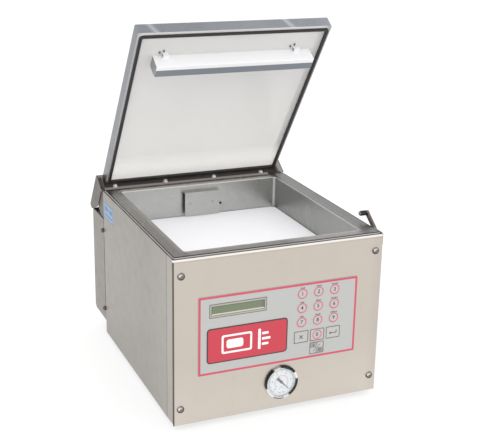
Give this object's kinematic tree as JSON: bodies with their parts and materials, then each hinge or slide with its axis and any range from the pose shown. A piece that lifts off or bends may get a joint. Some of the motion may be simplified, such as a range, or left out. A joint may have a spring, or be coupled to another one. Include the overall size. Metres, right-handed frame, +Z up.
{
  "type": "chamber vacuum packing machine",
  "caption": "Table-top chamber vacuum packer: steel case with keypad, display and gauge, clear hinged lid with counter bar over a chamber with a lifting seal bar, side latch.",
  "frame": {"origin": "centre of the base pan's pressed underside; the rubber feet reach 12 mm below it", "axes": "+Z up, +Y from the front panel to the back, +X to the right seen from the front; rest pose has the lid open"},
  "size_m": [0.4465, 0.5656, 0.7278],
  "materials": {
    "front_steel": "fine brushed",
    "side_steel": "fine brushed",
    "chamber_steel": "pressed, satin",
    "lid_steel": "satin",
    "galvanised": "plain",
    "bright_steel": "polished",
    "fastener": "bright",
    "rubber_black": "matt",
    "hose": "matt",
    "filler_white": "smooth white",
    "bar_white": "smooth white",
    "silicone": "smooth",
    "acrylic": "clear",
    "overlay": "printed film",
    "key_film": "printed film",
    "lcd": "clear window",
    "board": "board with components",
    "dial_white": "matt white",
    "needle_black": "matt",
    "lens": "clear",
    "bar_aluminium": "extruded",
    "tape_brown": "woven non-stick tape",
    "pump_grey": "painted",
    "motor_blue": "painted",
    "fan_black": "moulded",
    "filter_grey": "painted",
    "valve": "machined",
    "transformer": "laminated, varnished",
    "black_plastic": "moulded"
  },
  "bodies": {
    "casing": {"base_pan": "galvanised", "front_panel": "front_steel", "front_panel_screws": "fastener", "side_panel_left": "side_steel", "side_panel_right": "side_steel", "rear_panel": "galvanised", "rear_cover": "side_steel", "rear_cover_screws": "fastener", "rubber_feet": "rubber_black", "chamber_tub": "chamber_steel", "filler_plates": "filler_white", "suction_baffle": "chamber_steel", "seal_lift_cylinders": "bar_aluminium", "hinge_shaft": "bright_steel", "hinge_blocks": "galvanised", "torsion_springs": "galvanised", "latch_pivot_bolt": "fastener", "lid_switch": "black_plastic", "control_overlay": "overlay", "display_window": "lcd", "control_board": "board", "gauge_case": "black_plastic", "gauge_bezel": "bright_steel", "gauge_dial": "dial_white", "gauge_lens": "lens", "vacuum_pump": "pump_grey", "pump_motor": "motor_blue", "oil_filter": "filter_grey", "valve_block": "valve", "vacuum_hoses": "hose", "seal_transformer": "transformer", "power_inlet": "black_plastic"},
    "lid": {"lid_frame": "lid_steel", "lid_plate": "acrylic", "lid_gasket": "rubber_black", "counter_bar": "bar_white", "counter_bar_silicone": "silicone", "hinge_bracket": "side_steel", "hinge_arms": "galvanised", "lid_bolts": "fastener"},
    "seal_bar_assembly": {"seal_bar": "bar_aluminium", "seal_bar_element": "tape_brown", "seal_bar_pistons": "bright_steel"},
    "latch": {"latch_arm": "bright_steel", "latch_grip": "black_plastic"},
    "gauge_pointer": {"gauge_needle": "needle_black"},
    "motor_rotor": {"motor_fan": "fan_black"},
    "key_0": {"key_0": "key_film"},
    "key_1": {"key_1": "key_film"},
    "key_2": {"key_2": "key_film"},
    "key_3": {"key_3": "key_film"},
    "key_4": {"key_4": "key_film"},
    "key_5": {"key_5": "key_film"},
    "key_6": {"key_6": "key_film"},
    "key_7": {"key_7": "key_film"},
    "key_8": {"key_8": "key_film"},
    "key_9": {"key_9": "key_film"},
    "key_cancel": {"key_cancel": "key_film"},
    "key_confirm": {"key_confirm": "key_film"},
    "key_power": {"key_power": "key_film"}
  },
  "joints": [
    {"name": "lid_hinge", "type": "hinge", "parent": "casing", "child": "lid", "pos_m": [0, 0.241, 0.3151], "axis": [1, 0, 0], "range_deg": [0, 55]},
    {"name": "seal_bar_lift", "type": "slide", "parent": "casing", "child": "seal_bar_assembly", "axis": [0, 0, 1], "range_m": [0, 0.007]},
    {"name": "latch_pivot", "type": "hinge", "parent": "casing", "child": "latch", "pos_m": [0.2214, -0.1985, 0.317], "axis": [1, 0, 0], "range_deg": [0, 60]},
    {"name": "gauge_pointer_turn", "type": "hinge", "parent": "casing", "child": "gauge_pointer", "pos_m": [0.0055, -0.2285, 0.054], "axis": [0, -1, 0], "range_deg": [0, 270]},
    {"name": "motor_rotor_spin", "type": "hinge", "parent": "casing", "child": "motor_rotor", "pos_m": [0.15, 0.0715, 0.096], "axis": [1, 0, 0], "continuous": true},
    {"name": "key_0_press", "type": "slide", "parent": "casing", "child": "key_0", "axis": [0, 1, 0], "range_m": [0, 0.0004], "stiffness_N_per_m": 2000},
    {"name": "key_1_press", "type": "slide", "parent": "casing", "child": "key_1", "axis": [0, 1, 0], "range_m": [0, 0.0004], "stiffness_N_per_m": 2000},
    {"name": "key_2_press", "type": "slide", "parent": "casing", "child": "key_2", "axis": [0, 1, 0], "range_m": [0, 0.0004], "stiffness_N_per_m": 2000},
    {"name": "key_3_press", "type": "slide", "parent": "casing", "child": "key_3", "axis": [0, 1, 0], "range_m": [0, 0.0004], "stiffness_N_per_m": 2000},
    {"name": "key_4_press", "type": "slide", "parent": "casing", "child": "key_4", "axis": [0, 1, 0], "range_m": [0, 0.0004], "stiffness_N_per_m": 2000},
    {"name": "key_5_press", "type": "slide", "parent": "casing", "child": "key_5", "axis": [0, 1, 0], "range_m": [0, 0.0004], "stiffness_N_per_m": 2000},
    {"name": "key_6_press", "type": "slide", "parent": "casing", "child": "key_6", "axis": [0, 1, 0], "range_m": [0, 0.0004], "stiffness_N_per_m": 2000},
    {"name": "key_7_press", "type": "slide", "parent": "casing", "child": "key_7", "axis": [0, 1, 0], "range_m": [0, 0.0004], "stiffness_N_per_m": 2000},
    {"name": "key_8_press", "type": "slide", "parent": "casing", "child": "key_8", "axis": [0, 1, 0], "range_m": [0, 0.0004], "stiffness_N_per_m": 2000},
    {"name": "key_9_press", "type": "slide", "parent": "casing", "child": "key_9", "axis": [0, 1, 0], "range_m": [0, 0.0004], "stiffness_N_per_m": 2000},
    {"name": "key_cancel_press", "type": "slide", "parent": "casing", "child": "key_cancel", "axis": [0, 1, 0], "range_m": [0, 0.0004], "stiffness_N_per_m": 2000},
    {"name": "key_confirm_press", "type": "slide", "parent": "casing", "child": "key_confirm", "axis": [0, 1, 0], "range_m": [0, 0.0004], "stiffness_N_per_m": 2000},
    {"name": "key_power_press", "type": "slide", "parent": "casing", "child": "key_power", "axis": [0, 1, 0], "range_m": [0, 0.0004], "stiffness_N_per_m": 2000}
  ]
}
